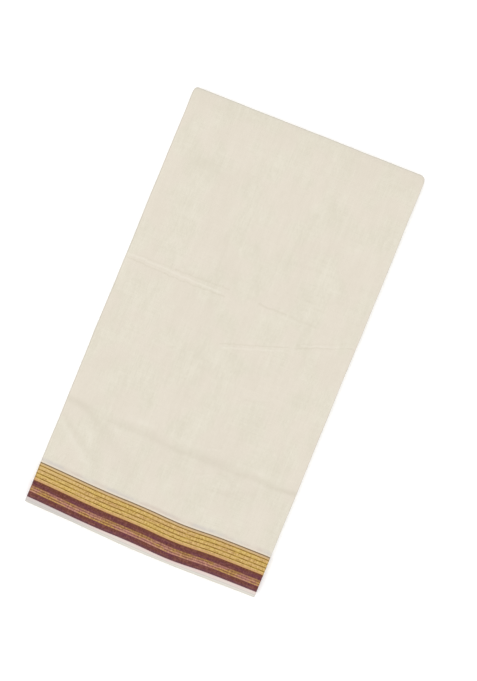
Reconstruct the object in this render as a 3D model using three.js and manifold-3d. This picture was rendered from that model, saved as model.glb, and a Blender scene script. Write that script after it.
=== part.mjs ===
// A Kerala saree, folded for the shelf: one length of cream cotton with a kasavu and maroon border along
// both of its long edges. The length is halved end to end four times, and the bundle is then folded once
// across, so that both borders lie at the near end, one on top and one underneath.
//
// Millimetres. +Z is up, +Y runs to the far fold, +X across the bundle. The origin is at the middle of
// the underside. The outer leaf is the one layer that shows on top, round the far fold and underneath.
// It is a wall with its own piece for each coloured stretch; the layers that it covers share one solid.

import * as THREE from 'three';
import { mergeVertices } from 'three/addons/utils/BufferGeometryUtils.js';
import Module from 'manifold-3d';

const wasm = await Module();
wasm.setup();

// ---- The cloth, and how it is folded ----

const CLOTH_LENGTH = 5500;
const CLOTH_WIDTH = 1250;
const HALVINGS = 4;
const PANELS = 2 ** HALVINGS;
const PANEL_WIDTH = CLOTH_LENGTH / PANELS;
const LAYER_PITCH = 0.45;
const HALF_HEIGHT = PANELS * LAYER_PITCH;
const TURN = Math.PI * HALF_HEIGHT;
const FLAT = (CLOTH_WIDTH - TURN) / 2;

const WALL = 1;
const SEAM = 0.3;

const LEFT = -PANEL_WIDTH / 2;
const RIGHT = PANEL_WIDTH / 2;

// All sixteen layers turn together at the left edge. At the right edge the outer leaf turns round eight.
const LEFT_TURN_LAYERS = 16;
const RIGHT_TURN_LAYERS = 8;
const LEFT_RADIUS = (LEFT_TURN_LAYERS * LAYER_PITCH - SEAM / 2) / 2;
const RIGHT_RADIUS = (RIGHT_TURN_LAYERS * LAYER_PITCH) / 2;

// ---- Outline, seen from above ----

// The near end bows out towards -Y, by so many millimetres at each fraction of the way across.
const NEAR_BOW = [
  { across: 0.0, out: 0.4 },
  { across: 0.15, out: 3.2 },
  { across: 0.35, out: 5.2 },
  { across: 0.56, out: 7.0 },
  { across: 0.75, out: 6.0 },
  { across: 0.88, out: 4.2 },
  { across: 1.0, out: 3.8 },
];
const FAR_SKEW = 4.2;
const CORNER_RADIUS = 6;

// ---- The woven border, from the selvedge inwards ----

const BORDER = [
  { name: 'selvedge', width: 7.6, yarn: 'selvedge' },
  { name: 'outer_maroon', width: 7.3, yarn: 'maroon' },
  { name: 'kasavu_stripe', width: 9.2, yarn: 'mixed' },
  { name: 'inner_maroon', width: 7.9, yarn: 'maroon' },
  { name: 'kasavu_band', width: 26.5, yarn: 'kasavu' },
];

const YARNS = {
  ground: { color: '#e5dece', roughness: 0.9, metalness: 0 },
  selvedge: { color: '#dcd2ca', roughness: 0.9, metalness: 0 },
  maroon: { color: '#794a3f', roughness: 0.8, metalness: 0 },
  mixed: { color: '#a97c60', roughness: 0.7, metalness: 0.1 },
  kasavu: { color: '#cda96e', roughness: 0.5, metalness: 0.3 },
};

// ---- Press creases in the top leaf: soft troughs from one point to another ----

// from and to are [distance from the left edge, distance from the far end].
const CREASES = [
  { from: [0, 470], to: [344, 475], width: 14, depth: 0.5 },
  { from: [38, 474], to: [110, 526], width: 18, depth: 0.4 },
  { from: [10, 495], to: [89, 560], width: 16, depth: 0.3 },
];
const CREASE_FADE = 9;

// The stretch of the top field that they lie in, measured from the near end.
const CREASED = { from: 60, to: 168, steps: 16 };

// ---- The hidden layers, as packets ----

// The packets overlap a little, so that they join. The upper and the lower half of the bundle are joined
// by a thin web between them. The leaf's lip comes down to the middle on the left, and needs clearance,
// and its creases need room above the top packet.
const OVERLAP = 0.25;
const MIDDLE_GAP = 0.1;
const WEB_HEIGHT = 0.2;
const LIP_CLEAR = LEFT_RADIUS + SEAM;
const CREASE_ROOM = 0.6;
const TOP_OF_TWO = 2 * LAYER_PITCH;
const TOP_OF_FOUR = 4 * LAYER_PITCH;
const TOP_OF_EIGHT = 8 * LAYER_PITCH - SEAM;
const TOP_OF_ALL = HALF_HEIGHT - WALL - SEAM - CREASE_ROOM;

// low and high are heights above the middle of the bundle; left, right and near are how far a packet
// stops short of the bundle's edges. From the middle: free ends, two layers, four layers, eight layers.
const PACKETS = [
  { low: MIDDLE_GAP, high: TOP_OF_TWO, left: LIP_CLEAR, right: 2.7, near: 1.6 },
  { low: TOP_OF_TWO - OVERLAP, high: TOP_OF_FOUR, left: LIP_CLEAR, right: 1.5, near: 0.6 },
  { low: TOP_OF_FOUR - OVERLAP, high: TOP_OF_EIGHT, left: 2.2, right: 0.9, near: 1.3 },
  { low: TOP_OF_EIGHT - OVERLAP, high: TOP_OF_ALL, left: 1.9, right: 2.4, near: 0.7 },
];

// ---- Working out a point of the folded bundle ----

const bow = new THREE.CubicInterpolant(
  NEAR_BOW.map((row) => row.across),
  NEAR_BOW.map((row) => row.out),
  1,
);
const nearEdge = (x) => -bow.evaluate((x - LEFT) / PANEL_WIDTH)[0];

// Where the far fold starts to turn: a slightly skewed line with rounded ends.
function foldLine(x) {
  const across = (x - LEFT) / PANEL_WIDTH;
  const inFromEdge = Math.max(0, Math.min(x - LEFT, RIGHT - x));
  const reach = Math.max(0, CORNER_RADIUS - inFromEdge);
  const corner = CORNER_RADIUS - Math.sqrt(CORNER_RADIUS ** 2 - reach ** 2);
  return FLAT + FAR_SKEW * (across - 0.5) - corner;
}

// A smooth trough: 1 on the line from a to b, 0 at half a width to either side and past its ends.
function trough(x, y, a, b, width) {
  const along = b.clone().sub(a);
  const offset = new THREE.Vector2(x, y).sub(a);
  const reach = THREE.MathUtils.clamp(offset.dot(along) / along.lengthSq(), 0, 1);
  const away = offset.addScaledVector(along, -reach).length();
  return away < width / 2 ? Math.cos((Math.PI * away) / width) ** 2 : 0;
}

const creasePoint = ([fromLeft, fromFar]) => new THREE.Vector2(LEFT + fromLeft, FLAT + HALF_HEIGHT - fromFar);
const creaseLines = CREASES.map((row) => ({ ...row, a: creasePoint(row.from), b: creasePoint(row.to) }));

function creaseDepth(x, y) {
  const inFromEdge = Math.min(x - LEFT, RIGHT - x);
  const fade = THREE.MathUtils.smoothstep(inFromEdge, LEFT_RADIUS, LEFT_RADIUS + CREASE_FADE);
  const deepest = creaseLines.map((row) => row.depth * trough(x, y, row.a, row.b, row.width));
  return fade * Math.max(...deepest);
}

// x is across the bundle and h is the height above its middle. weft is the distance over the cloth's
// width, from the selvedge on top (0), round the far fold, to the selvedge underneath (CLOTH_WIDTH).
function place(x, h, weft) {
  const near = nearEdge(x);
  const fold = foldLine(x);
  if (weft <= FLAT) {
    const y = THREE.MathUtils.lerp(near, fold, weft / FLAT);
    return [x, y, HALF_HEIGHT + h - creaseDepth(x, y)];
  }
  if (weft < FLAT + TURN) {
    const angle = (weft - FLAT) / HALF_HEIGHT;
    return [x, fold + h * Math.sin(angle), HALF_HEIGHT + h * Math.cos(angle)];
  }
  const y = THREE.MathUtils.lerp(near, fold, (CLOTH_WIDTH - weft) / FLAT);
  return [x, y, HALF_HEIGHT - h];
}

// ---- Sections: two lines of [x, h] from left to right, the under and the upper side of the cloth ----

const PLAIN_STEPS = 10;
const FIELD_STEPS = 18;
const EDGE_STATIONS = [1.5, 3.5];

// A flat stretch of a line, with points closer together near its ends, where the outline turns its corners.
function flatLine(from, to, h, steps = PLAIN_STEPS) {
  const last = EDGE_STATIONS.at(-1);
  const stations = EDGE_STATIONS.map((step) => from + step);
  for (let i = 1; i < steps; i++) {
    stations.push(THREE.MathUtils.lerp(from + last, to - last, i / steps));
  }
  stations.push(...EDGE_STATIONS.map((step) => to - step).reverse());
  return stations.map((x) => [x, h]);
}

// Points about (x, h), at angles counted in quarter turns.
function arc(x, h, radius, fromQuarter, toQuarter, steps) {
  return Array.from({ length: steps + 1 }, (_, i) => {
    const angle = THREE.MathUtils.lerp(fromQuarter, toQuarter, i / steps) * (Math.PI / 2);
    return [x + radius * Math.cos(angle), h + radius * Math.sin(angle)];
  });
}

// The outer leaf: up round the whole fold on the left, over the top, and down round half of it on the right.
function leafSection(steps) {
  const leftX = LEFT + LEFT_RADIUS;
  const rightX = RIGHT - RIGHT_RADIUS;
  const side = (inset) => [
    ...arc(leftX, HALF_HEIGHT - LEFT_RADIUS, LEFT_RADIUS - inset, 3, 1, 8),
    ...flatLine(leftX, rightX, HALF_HEIGHT - inset, steps),
    ...arc(rightX, HALF_HEIGHT - RIGHT_RADIUS, RIGHT_RADIUS - inset, 1, -1, 6),
  ];
  return { under: side(WALL), upper: side(0) };
}

const NOSE_TIP = 0.2;

// A packet of hidden layers: flat, with a round nose at each side that ends in a narrow flat.
function packetSection({ low, high, left, right }) {
  const nose = (high - low) / 2;
  const middle = low + nose;
  const leftX = LEFT + left + nose;
  const rightX = RIGHT - right - nose;
  const under = [
    ...arc(leftX, middle, nose, 2 + NOSE_TIP, 3, 2),
    ...flatLine(leftX, rightX, low),
    ...arc(rightX, middle, nose, -1, -NOSE_TIP, 2),
  ];
  const upper = under.map(([x, h]) => [x, 2 * middle - h]);
  return { under, upper };
}

// ---- Sweeping a section along the cloth ----

// Joins the section at each station into one closed body, with a cap at each end.
function sweep({ under, upper }, stations, placePoint) {
  const ring = [...under, ...upper.toReversed()];
  const count = ring.length;
  const last = (stations.length - 1) * count;
  const points = stations.flatMap((station) => ring.map(([x, h]) => placePoint(x, h, station)));
  const faces = [];
  const quad = (a, b, c, d) => faces.push([a, b, c], [a, c, d]);
  for (let k = 0; k < under.length - 1; k++) {
    const above = count - 1 - k;
    quad(k, k + 1, above - 1, above);
    quad(last + k, last + above, last + above - 1, last + k + 1);
  }
  for (let start = 0; start < last; start += count) {
    for (let k = 0; k < count; k++) {
      const next = (k + 1) % count;
      quad(start + k, start + count + k, start + count + next, start + next);
    }
  }
  const geometry = new THREE.BufferGeometry();
  geometry.setAttribute('position', new THREE.Float32BufferAttribute(points.flat(), 3));
  geometry.setIndex(faces.flat());
  return geometry;
}

const evenStations = (from, to, steps) =>
  Array.from({ length: steps + 1 }, (_, i) => THREE.MathUtils.lerp(from, to, i / steps));

const TURN_STEPS = 10;
const turnStations = evenStations(FLAT, FLAT + TURN, TURN_STEPS);

// ---- The outer leaf, stretch by stretch ----

const saree = new THREE.Group();
const leaf = leafSection(PLAIN_STEPS);

function addPiece(name, geometry, yarn) {
  const piece = new THREE.Mesh(geometry, new THREE.MeshStandardMaterial(YARNS[yarn]));
  piece.name = name;
  saree.add(piece);
}

let inward = 0;
for (const { name, width, yarn } of BORDER) {
  const start = inward === 0 ? 0 : inward + SEAM / 2;
  const end = inward + width - SEAM / 2;
  addPiece(`top_${name}`, sweep(leaf, [start, end], place), yarn);
  addPiece(`under_${name}`, sweep(leaf, [CLOTH_WIDTH - end, CLOTH_WIDTH - start], place), yarn);
  inward += width;
}

const fieldStart = inward + SEAM / 2;
const creasedStations = evenStations(CREASED.from, CREASED.to, CREASED.steps);
const fieldStations = [fieldStart, ...creasedStations, FLAT - SEAM];
addPiece('top_field', sweep(leafSection(FIELD_STEPS), fieldStations, place), 'ground');
addPiece('far_fold', sweep(leaf, turnStations, place), 'ground');
addPiece('under_field', sweep(leaf, [FLAT + TURN + SEAM, CLOTH_WIDTH - fieldStart], place), 'ground');

// ---- The hidden layers: packets nested round the far fold, joined through a thin web in the middle ----

const asSolid = (geometry) => {
  const bare = mergeVertices(geometry);
  const vertProperties = bare.getAttribute('position').array;
  const triVerts = new Uint32Array(bare.index.array);
  return new wasm.Manifold(new wasm.Mesh({ numProp: 3, vertProperties, triVerts }));
};

// A packet turns the far fold as the outer leaf does. Its two ends stop short of the near end.
function packetSolid(packet) {
  const placePacket = (x, h, weft) => {
    const [, y, z] = place(x, h, weft);
    const atNearEnd = weft === 0 || weft === CLOTH_WIDTH;
    return [x, atNearEnd ? y + packet.near : y, z];
  };
  return asSolid(sweep(packetSection(packet), [0, ...turnStations, CLOTH_WIDTH], placePacket));
}

// The web lies in the middle, inside the innermost packet, and joins its upper and lower half.
function webSolid() {
  const [innermost] = PACKETS;
  const inset = innermost.high;
  const section = packetSection({
    low: -WEB_HEIGHT,
    high: WEB_HEIGHT,
    left: innermost.left + inset,
    right: innermost.right + inset,
  });
  const placeWeb = (x, h, weft) => {
    const y = weft === 0 ? nearEdge(x) + innermost.near + inset : foldLine(x) + inset / 2;
    return [x, y, HALF_HEIGHT + h];
  };
  return asSolid(sweep(section, [0, FLAT], placeWeb));
}

function hiddenLayers() {
  const solid = PACKETS.reduce((joined, packet) => joined.add(packetSolid(packet)), webSolid());
  const { vertProperties, triVerts } = solid.getMesh();
  const geometry = new THREE.BufferGeometry();
  geometry.setAttribute('position', new THREE.BufferAttribute(vertProperties, 3));
  geometry.setIndex(new THREE.BufferAttribute(triVerts, 1));
  return geometry;
}

addPiece('hidden_layers', hiddenLayers(), 'ground');

// ---- The origin: the middle of the underside ----

const box = new THREE.Box3().setFromObject(saree);
const middle = box.getCenter(new THREE.Vector3());
saree.position.set(-middle.x, -middle.y, -box.min.z);

export default saree;
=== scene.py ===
# %% [markdown]
# # A kerala saree, folded for the shelf
# A kerala saree is one long length of cream handloom cotton, with a border of gold thread and maroon
# woven along both edges. Here it lies folded and pressed into a flat bundle, both borders at the near
# end. The lesson makes it as real cloth: the outer leaf, its border, and every layer inside. The frame
# comes first: it is the plain model that says how big the bundle is and where it lies.

# %% The frame
import math
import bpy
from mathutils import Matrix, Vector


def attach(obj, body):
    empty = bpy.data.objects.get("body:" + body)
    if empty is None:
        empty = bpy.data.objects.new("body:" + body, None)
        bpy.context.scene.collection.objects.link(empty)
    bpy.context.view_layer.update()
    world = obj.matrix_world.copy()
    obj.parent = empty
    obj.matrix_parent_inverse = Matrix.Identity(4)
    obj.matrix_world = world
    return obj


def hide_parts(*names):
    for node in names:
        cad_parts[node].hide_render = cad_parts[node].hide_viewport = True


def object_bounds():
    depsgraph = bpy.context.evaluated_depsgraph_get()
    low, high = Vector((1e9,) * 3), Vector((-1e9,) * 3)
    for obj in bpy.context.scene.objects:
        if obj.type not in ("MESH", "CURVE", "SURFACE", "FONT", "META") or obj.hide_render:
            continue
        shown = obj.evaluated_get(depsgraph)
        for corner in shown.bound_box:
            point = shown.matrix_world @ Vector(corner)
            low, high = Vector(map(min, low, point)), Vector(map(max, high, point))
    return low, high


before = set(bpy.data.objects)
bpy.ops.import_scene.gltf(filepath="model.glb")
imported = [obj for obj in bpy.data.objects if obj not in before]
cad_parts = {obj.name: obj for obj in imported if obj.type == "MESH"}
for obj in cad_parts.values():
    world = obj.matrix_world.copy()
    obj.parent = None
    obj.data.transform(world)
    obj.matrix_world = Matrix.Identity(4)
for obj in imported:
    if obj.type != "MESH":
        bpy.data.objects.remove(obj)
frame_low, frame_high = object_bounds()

from types import SimpleNamespace

import bpy
import numpy as np

print("bundle, mm:", [round((high - low) * 1000, 1) for low, high in zip(frame_low, frame_high)])

# %% [markdown]
# The cut of the cloth decides every other size. The length is halved four times, which gives sixteen
# panels, and the narrow bundle is then folded once across. Each layer takes up a little more height
# than the cloth's own thickness, because pressed cotton is never quite solid. The values are the
# frame's own, written again in metres.

# %% The cut, and how it is folded
MM = 0.001
CLOTH_LENGTH = 5.5
CLOTH_WIDTH = 1.25
HALVINGS = 4
PANELS = 2**HALVINGS
PANEL_WIDTH = CLOTH_LENGTH / PANELS
LAYER_ROOM = 0.45 * MM
HALF_HEIGHT = PANELS * LAYER_ROOM
TURN = math.pi * HALF_HEIGHT
FLAT = (CLOTH_WIDTH - TURN) / 2
LEFT = -PANEL_WIDTH / 2
RIGHT = PANEL_WIDTH / 2
THICKNESS = 0.3 * MM
print("panels:", PANELS, "of", round(PANEL_WIDTH / MM, 1), "mm; flat part, mm:", round(FLAT / MM, 1))

# %% [markdown]
# A pressed bundle is nearly a rectangle, and what makes it cloth is how it misses being one: the near
# end bows out, the far fold is a little askew with rounded corners, and no edge is quite straight. The
# outline could be drawn as a curve and filled. Here it is kept as functions of the way across, because
# every layer needs the same outline.

# %% The outline
BOW_ACROSS = np.array([0, 0.08, 0.15, 0.24, 0.325, 0.41, 0.50, 0.56, 0.63, 0.69, 0.75, 0.82, 0.90, 1.0])
EDGE_BOW = np.array([0.9, 1.8, 2.55, 3.5, 4.6, 6.2, 7.0, 7.1, 7.0, 6.6, 6.25, 5.7, 5.05, 4.6]) * MM
BORDER_BOW = np.array([0.55, 1.8, 3.0, 4.5, 5.3, 5.4, 6.2, 7.3, 7.8, 6.9, 5.45, 4.55, 4.2, 3.8]) * MM
FAR_SKEW = 4.2 * MM
LEFT_CORNER = 6 * MM
RIGHT_CORNER = 8.5 * MM
DEEPEST_BOW = 7 * MM
NEAR_LINE = frame_low.y + DEEPEST_BOW


def ripple(at, wavelength, seed):
    """An uneven wave between about -1 and 1, from three sines whose lengths don't match."""
    turn = 2 * math.pi * at / wavelength
    long_wave = np.sin(turn + 1.7 * seed)
    middle_wave = np.sin(2.3 * turn + 2.9 * seed + 1)
    short_wave = np.sin(4.1 * turn + 4.3 * seed + 2)
    return (long_wave + 0.6 * middle_wave + 0.3 * short_wave) / 1.9


def smooth_through(at, stations, values):
    """A smooth line through the given values, read at the given places."""
    slopes = np.gradient(values, stations)
    k = np.clip(np.searchsorted(stations, at, side="right") - 1, 0, len(stations) - 2)
    span = stations[k + 1] - stations[k]
    t = (at - stations[k]) / span
    from_left = (1 + 2 * t) * (1 - t) ** 2 * values[k] + t * (1 - t) ** 2 * span * slopes[k]
    from_right = t**2 * (3 - 2 * t) * values[k + 1] - t**2 * (1 - t) * span * slopes[k + 1]
    return from_left + from_right


def near_edge(x, weft):
    """The line that a weft is measured from. The selvedge has its own edge, and the border wanders more."""
    across = np.clip((x - LEFT) / PANEL_WIDTH, 0, 1)
    edge = smooth_through(across, BOW_ACROSS, EDGE_BOW)
    on_top = smooth_through(across, BOW_ACROSS, BORDER_BOW)
    underneath = edge + 0.6 * MM * ripple(x, 0.14, 3)
    border = np.where(weft < CLOTH_WIDTH / 2, on_top, underneath)
    inward = np.clip(np.minimum(weft, CLOTH_WIDTH - weft) / (7 * MM), 0, 1)
    return NEAR_LINE - edge - (border - edge) * inward**2 * (3 - 2 * inward)


def fold_line(x):
    """Where the far fold begins: askew, with rounded corners."""
    across = (x - LEFT) / PANEL_WIDTH
    radius = np.where(x < 0, LEFT_CORNER, RIGHT_CORNER)
    reach = np.clip(radius - np.minimum(x - LEFT, RIGHT - x), 0, radius)
    corner = radius - np.sqrt(radius**2 - reach**2)
    far_edge = NEAR_LINE + FLAT + FAR_SKEW * (across - 0.5) + 0.2 * MM * ripple(x, 0.17, 8)
    return far_edge - corner


print("far fold's middle, mm:", round(float(fold_line(np.array(0.0)) / MM), 1))

# %% [markdown]
# Creases are what the eye reads as cloth on so plain a surface. On the real saree they are soft marks
# of earlier folds: one runs right across above the border, and shallow troughs fan out from it towards
# the near left corner. They could be sculpted with a brush. Here each is a line of points with its own
# depths and width, listed one by one, because the layers underneath have to follow it too.

# %% Creases laid in one by one
# Each crease is its half width and its points. A point is (from the left edge, from the far end,
# depth), all in millimetres. A ridge is a depth below zero.
TOP_CREASES = [
    # The left branch, down towards the border.
    (4.3, [(-3, 468, 0.62), (19, 470, 0.8), (34, 473, 0.66)]),
    (6.0, [(34, 473, 0.62), (47, 483, 0.6), (60, 492, 0.52)]),
    (8.5, [(60, 491, 0.38), (78, 501, 0.34), (92, 510, 0.26), (108, 521, 0.12), (112, 534, 0.02)]),
    # A shallower one below it, with the cloth pushed up between them.
    (4.0, [(-3, 487, 0.3), (17, 502, 0.42), (42, 518, 0.42), (66, 533, 0.35), (80, 546, 0.1)]),
    (3.6, [(45, 496, -0.05), (50, 506, -0.26), (56, 518, -0.24), (60, 528, -0.03)]),
    (3.2, [(1, 498, -0.1), (18, 511, -0.34), (36, 526, -0.32), (55, 541, -0.14)]),
    (3.6, [(70, 486, -0.1), (84, 487, -0.28), (98, 487, -0.1)]),
    # The main crease, out to the right edge, where it is sharpest.
    (4.6, [(56, 474, 0.2), (72, 475, 0.44), (84, 476, 0.44), (104, 475, 0.54), (127, 475, 0.54)]),
    (5.6, [(127, 475, 0.56), (147, 478, 0.52), (177, 479, 0.62), (194, 475, 0.56), (206, 477, 0.74)]),
    (6.5, [(206, 476, 0.72), (222, 476, 0.78), (240, 476, 0.6), (257, 478, 0.5)]),
    (4.2, [(246, 477, 0.5), (257, 478, 0.62), (279, 475, 0.52), (297, 476, 0.6), (319, 477, 0.8)]),
    (3.2, [(312, 476, 0.7), (330, 476, 0.9), (347, 474, 0.95)]),
    # Ridges along its upper side.
    (4.5, [(88, 463, -0.1), (108, 462, -0.34), (128, 462, -0.14)]),
    (4.0, [(155, 464, -0.05), (170, 463, -0.18), (190, 464, -0.05)]),
    (4.5, [(268, 467, -0.1), (290, 466, -0.22), (314, 465, -0.12)]),
    # The shallow valley below it, and side branches to the right.
    (24.0, [(60, 486, 0.04), (170, 492, 0.14), (300, 492, 0.16), (350, 490, 0.1)]),
    (4.4, [(226, 482, 0.25), (243, 488, 0.44), (258, 495, 0.42), (270, 503, 0.1)]),
    (4.2, [(232, 513, 0.15), (255, 509, 0.5), (268, 502, 0.3), (292, 494, 0.26)]),
    (7.0, [(333, 516, 0.08), (338, 536, 0.24), (342, 552, 0.16)]),
    # Faint waves in the body of the cloth, and slack at the far end.
    (4.5, [(192, 508, 0.12), (195, 534, 0.16), (188, 552, 0.05)]),
    (10.0, [(92, 508, 0.12), (110, 520, 0.34), (118, 538, 0.22)]),
    (9.0, [(127, 119, 0.04), (127, 214, 0.16), (141, 339, 0.18), (166, 358, 0.05)]),
    (8.0, [(166, 358, 0.04), (152, 395, 0.14), (146, 430, 0.06)]),
    (8.0, [(230, 112, 0.03), (236, 160, 0.14), (238, 214, 0.05)]),
    (11.0, [(20, 88, 0.05), (64, 96, 0.18), (96, 112, 0.06)]),
    (12.0, [(-2, 14, 0.22), (140, 20, 0.18), (250, 16, 0.22), (346, 12, 0.24)]),
    (14.0, [(210, 46, 0.04), (312, 60, 0.14), (346, 90, 0.08)]),
]
UNDER_CREASES = [
    (6.0, [(-2, 402, 0.24), (90, 410, 0.40), (210, 404, 0.32), (346, 412, 0.38)]),
    (6.0, [(230, 452, 0.06), (286, 496, 0.32), (346, 522, 0.36)]),
    (7.0, [(40, 150, 0.05), (160, 171, 0.28), (300, 160, 0.07)]),
]
print("creases on top:", len(TOP_CREASES), "and underneath:", len(UNDER_CREASES))

# %% [markdown]
# A pressed crease isn't a sharp groove. It has a narrow core with a wide, shallow shoulder, and its line
# wanders a little. Where two troughs meet, the deeper one counts, so that they run into each other. The
# rest of the surface is never quite level, and slow waves take care of that.

# %% How a crease shapes the cloth
SHOULDER_WIDTH = 2.4
CORE_SHARE = 0.72


def trough_depth(x, y, points, half_width):
    """The depth of a soft trough along a line of points, at each place."""
    nearest = np.full(np.shape(x), np.inf)
    depth = np.zeros(np.shape(x))
    placed = [(LEFT + a * MM, frame_high.y - b * MM, c) for a, b, c in points]
    for (x1, y1, depth1), (x2, y2, depth2) in zip(placed, placed[1:]):
        step_x, step_y = x2 - x1, y2 - y1
        along = ((x - x1) * step_x + (y - y1) * step_y) / (step_x**2 + step_y**2)
        along = along.clip(0, 1)
        away = np.hypot(x - x1 - along * step_x, y - y1 - along * step_y)
        depth = np.where(away < nearest, depth1 + along * (depth2 - depth1), depth)
        nearest = np.minimum(nearest, away)
    core = np.exp(-((nearest / (half_width * MM)) ** 2))
    shoulder = np.exp(-((nearest / (SHOULDER_WIDTH * half_width * MM)) ** 2))
    return depth * (CORE_SHARE * core + (1 - CORE_SHARE) * shoulder)


def all_creases(x, y, creases, seed, spread):
    """The creases of one side together, on lines that wander a little. spread makes them broader."""
    wander_x = x + 1.0 * MM * ripple(y, 0.07, seed)
    wander_y = y + 0.8 * MM * ripple(x, 0.05, seed + 1)
    depths = [trough_depth(wander_x, wander_y, points, width * spread) for width, points in creases]
    deepest = np.maximum.reduce(depths)
    return deepest if spread > 1 else deepest + np.minimum.reduce(depths)


def unevenness(x, y, seed):
    """The slow rise and fall of a surface that was never pressed quite flat."""
    broad = ripple(x + 0.12 * y, 0.085, seed + 2) * (0.6 + 0.4 * ripple(y, 0.31, seed + 3))
    cross = ripple(y - 0.2 * x, 0.19, seed + 4)
    return (0.055 * broad + 0.035 * cross) * MM


print("shoulder to core, in width:", SHOULDER_WIDTH)

# %% [markdown]
# Folding is one rule that says where a point of the cloth comes to lie. It takes three numbers: how far
# across the bundle, how high in the stack, and how far in from the selvedge, over the top, round the
# far fold and back underneath. The outer leaf and the hidden layers share the rule, so they nest
# without touching. A cloth simulation can't hold thirty-two layers that lie so close.

# %% The rule for folding
SETTLED = 0.022
SETTLED_UNEVENLY = 0.008
SIDE_WAVER = 0.35 * MM
NEAR_LEAN = 0.85 * MM


def fold(x, height, weft, crept=0.0):
    """Where a point of the cloth lies in the bundle. All are arrays of one shape."""
    near = near_edge(x, weft) + crept
    line = fold_line(x)
    angle = np.clip((weft - FLAT) / HALF_HEIGHT, 0, math.pi)
    along = np.minimum(weft, CLOTH_WIDTH - weft) / FLAT
    y = near + np.clip(along, 0, 1) * (line - near) + height * np.sin(angle)
    z = HALF_HEIGHT + height * np.cos(angle)
    return x, y, z


def press(x, y, z, spread=1.0):
    """Lays the creases, and the unevenness of a pressed bundle, on its points. Gives back their new
    places, and how deep in a crease each lies."""
    along = (y - frame_low.y) / (frame_high.y - frame_low.y)
    settled = 1 - SETTLED * (1 - along) ** 3 - SETTLED_UNEVENLY * (1 + ripple(y + 0.4 * x, 0.23, 5))
    upper = np.clip(z / HALF_HEIGHT - 1, 0, 1)
    lower = np.clip(1 - z / HALF_HEIGHT, 0, 1)
    on_top = all_creases(x, y, TOP_CREASES, 1, spread) * MM
    underneath = all_creases(x, y, UNDER_CREASES, 6, spread) * MM
    new_z = z * settled - upper * (on_top + unevenness(x, y, 1))
    new_z = new_z + lower * np.maximum(underneath + unevenness(x, y, 6), 0)
    across = (x - LEFT) / PANEL_WIDTH
    left_wave = SIDE_WAVER * ripple(y, 0.21, 11)
    right_wave = SIDE_WAVER * ripple(y, 0.26, 14)
    lean = NEAR_LEAN * np.interp(along, [0.35, 0.8], [1, 0])
    new_x = x - lean + left_wave + across * (right_wave - left_wave)
    return (new_x, y, new_z), (upper * on_top + lower * underneath) / MM


print("lean at the near end, mm:", round(NEAR_LEAN / MM, 2))

# %% [markdown]
# The outer leaf is the only layer that shows as a whole. Its section runs from a lip on the left side,
# up round the fold that holds all sixteen layers, over the top, and down round the smaller fold on the
# right. Its points lie close together at the edges, where the outline turns.

# %% The outer leaf's section
LAYER_PITCH = 0.44 * MM
LAYER_HEIGHTS = np.arange(1, PANELS + 1) * LAYER_PITCH - THICKNESS / 2
LAYER_HEIGHTS[-1] = HALF_HEIGHT - THICKNESS / 2
EDGE_STEPS = np.array([0, 1.1, 2.3, 3.7, 5.6, 8.0]) * MM


def half_round(centre_x, low, high, side, steps):
    """The points of a fold between two heights. side is -1 for the left edge and 1 for the right."""
    angles = np.linspace(-math.pi / 2, math.pi / 2, steps + 1)
    radius = (high - low) / 2
    return centre_x + side * abs(radius) * np.cos(angles), (low + high) / 2 + radius * np.sin(angles)


def flat_run(start, end, height, steps):
    """Points from one fold to the next, closer together beside the folds. The ends belong to the folds."""
    toward = math.copysign(1, end - start)
    first = start + toward * EDGE_STEPS[1:]
    last = end - toward * EDGE_STEPS[:0:-1]
    middle = np.linspace(first[-1], last[0], steps + 1)[1:-1]
    x = np.concatenate([first, middle, last])
    return x, np.full(len(x), height)


def join_runs(runs):
    """A section from a list of runs: x, height and distance along the cloth, as arrays."""
    x = np.concatenate([run[0] for run in runs])
    height = np.concatenate([run[1] for run in runs])
    steps = np.hypot(np.diff(x), np.diff(height))
    return x, height, np.concatenate([[0], np.cumsum(steps)])


LOWEST, MIDDLE, HIGHEST = LAYER_HEIGHTS[[0, 8, 15]]
LEFT_CENTRE = LEFT + (THICKNESS + HIGHEST - LOWEST) / 2
RIGHT_CENTRE = RIGHT - (THICKNESS + HIGHEST - MIDDLE) / 2
LEFT_STEPS = 12
RIGHT_STEPS = 8
LEAF_STEPS = 108
leaf = join_runs([
    half_round(LEFT_CENTRE, LOWEST, HIGHEST, -1, LEFT_STEPS),
    flat_run(LEFT_CENTRE, RIGHT_CENTRE, HIGHEST, LEAF_STEPS),
    half_round(RIGHT_CENTRE, HIGHEST, MIDDLE, 1, RIGHT_STEPS),
])
leaf_x, _, leaf_length = leaf
print("outer leaf:", len(leaf_x), "points,", round(leaf_length[-1] / MM, 1), "mm along")

# %% [markdown]
# A sheet starts as a flat grid, like cloth on the loom: columns along its length and rows across its
# width. Its points are then moved to where the folding rule puts them. A UV map keeps each point's
# place in the flat cloth in metres, so that stripes and yarns follow every fold. Two more numbers are
# kept for the finishes: how deep in a crease a point lies, and how far the cloth turns over there. They
# set the painted shade in the creases and at the folds. Near the left fold, which holds all sixteen
# layers, the turn counts for more, so that the painted shade there is stronger.

# %% From the loom to the bundle
CLOTH_MAP = "cloth"
BAKE_MAP = "OFBake"
CREASE_DEPTH = "crease_depth"
FOLD_TURN = "fold_turn"
LEFT_FOLD_REACH = 8 * MM
LEFT_FOLD_EXTRA_SHADE = 0.8


def select_only(*pieces):
    """Selects these pieces alone, and makes the first of them the active one."""
    for piece in bpy.context.selected_objects:
        piece.select_set(False)
    for piece in pieces:
        piece.select_set(True)
    bpy.context.view_layer.objects.active = pieces[0]


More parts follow.
